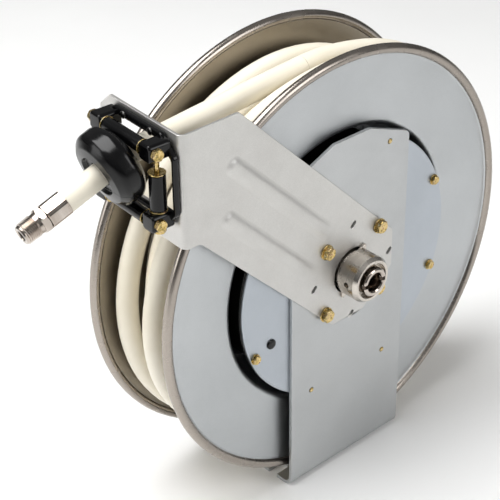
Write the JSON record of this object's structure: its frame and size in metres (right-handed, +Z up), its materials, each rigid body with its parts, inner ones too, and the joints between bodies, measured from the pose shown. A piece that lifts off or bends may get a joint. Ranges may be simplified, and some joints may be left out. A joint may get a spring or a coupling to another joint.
{
  "type": "hose reel",
  "caption": "Spring-rewind hose reel on a bent-sheet stand, with a swivel inlet, a hose wound between two steel discs and an arm carrying a roller hose guide.",
  "frame": {"origin": "on the underside of the foot, straight below the spool axis and halfway between the two spool discs", "axes": "+X along the spool axis toward the swivel inlet, -Y the way the hose leaves through the guide, +Z up"},
  "size_m": [0.1782, 0.5684, 0.4669],
  "materials": {
    "disc_steel": "fine satin pressed stainless sheet, rolled bead rim brighter",
    "sheet_steel": "bead-blasted stainless sheet with bright bends and cut edges",
    "turned_steel": "turned and polished stainless steel with fine lathe rings",
    "zinc_yellow": "yellow-passivated zinc plating with a faint rainbow tint",
    "spring_steel": "oiled dark spring steel",
    "black_plastic": "glossy black moulded nylon",
    "bushing_brass": "plain machined brass",
    "hose_rubber": "smooth cream rubber hose cover"
  },
  "bodies": {
    "frame": {"stand": "sheet_steel", "spring_case": "sheet_steel", "case_cover": "disc_steel", "cover_plug": "black_plastic", "power_spring": "spring_steel", "guide_arm": "sheet_steel", "bearing_flange": "zinc_yellow", "case_bushing": "bushing_brass", "pawl_pin": "turned_steel", "guide_frame": "black_plastic", "cover_screw_1": "zinc_yellow", "cover_screw_2": "zinc_yellow", "cover_screw_3": "zinc_yellow", "cover_screw_4": "zinc_yellow", "post_screw_1": "zinc_yellow", "post_screw_2": "zinc_yellow", "post_screw_3": "zinc_yellow", "post_screw_4": "zinc_yellow", "arm_bolt_1": "zinc_yellow", "arm_bolt_2": "zinc_yellow", "arm_bolt_3": "zinc_yellow", "arm_bolt_4": "zinc_yellow", "guide_screw_1": "zinc_yellow", "guide_screw_2": "zinc_yellow", "guide_screw_3": "zinc_yellow", "guide_screw_4": "zinc_yellow", "roller_axle_top": "zinc_yellow", "roller_axle_bottom": "zinc_yellow", "roller_axle_near": "zinc_yellow", "roller_axle_far": "zinc_yellow", "hose_lead": "hose_rubber", "stop_upper": "black_plastic", "stop_lower": "black_plastic", "stop_screw_1": "zinc_yellow", "stop_screw_2": "zinc_yellow", "hose_ferrule": "turned_steel", "hose_fitting": "turned_steel"},
    "spool": {"axle_shaft": "turned_steel", "swivel_collar": "turned_steel", "near_disc": "disc_steel", "far_disc": "disc_steel", "hub_plate": "disc_steel", "hub": "turned_steel", "hub_screw_1": "zinc_yellow", "hub_screw_2": "zinc_yellow", "hub_screw_3": "zinc_yellow", "hub_screw_4": "zinc_yellow", "spring_arbor": "spring_steel", "ratchet_wheel": "spring_steel", "outlet_riser": "turned_steel", "hose_winding": "hose_rubber"},
    "inlet": {"inlet_tube": "turned_steel"},
    "top_roller": {"roller_top": "black_plastic"},
    "bottom_roller": {"roller_bottom": "black_plastic"},
    "near_roller": {"roller_near": "black_plastic"},
    "far_roller": {"roller_far": "black_plastic"},
    "pawl": {"pawl": "spring_steel"}
  },
  "joints": [
    {"name": "spool_spin", "type": "hinge", "parent": "frame", "child": "spool", "pos_m": [0, 0, 0.238], "axis": [1, 0, 0], "continuous": true},
    {"name": "inlet_swivel", "type": "hinge", "parent": "frame", "child": "inlet", "pos_m": [0.09, 0, 0.238], "axis": [1, 0, 0], "continuous": true},
    {"name": "top_roller_spin", "type": "hinge", "parent": "frame", "child": "top_roller", "pos_m": [0.01413, -0.22705, 0.45], "axis": [-0.9981, 0.061, 0], "continuous": true},
    {"name": "bottom_roller_spin", "type": "hinge", "parent": "frame", "child": "bottom_roller", "pos_m": [0.01413, -0.22705, 0.381], "axis": [-0.9981, 0.061, 0], "continuous": true},
    {"name": "near_roller_spin", "type": "hinge", "parent": "frame", "child": "near_roller", "pos_m": [0.05142, -0.22332, 0.4155], "axis": [0, 0, 1], "continuous": true},
    {"name": "far_roller_spin", "type": "hinge", "parent": "frame", "child": "far_roller", "pos_m": [-0.02244, -0.2188, 0.4155], "axis": [0, 0, 1], "continuous": true},
    {"name": "pawl_pivot", "type": "hinge", "parent": "frame", "child": "pawl", "pos_m": [-0.0035, -0.03, 0.18], "axis": [1, 0, 0], "range_deg": [-15, 5], "stiffness_Nm_per_rad": 0.02}
  ]
}
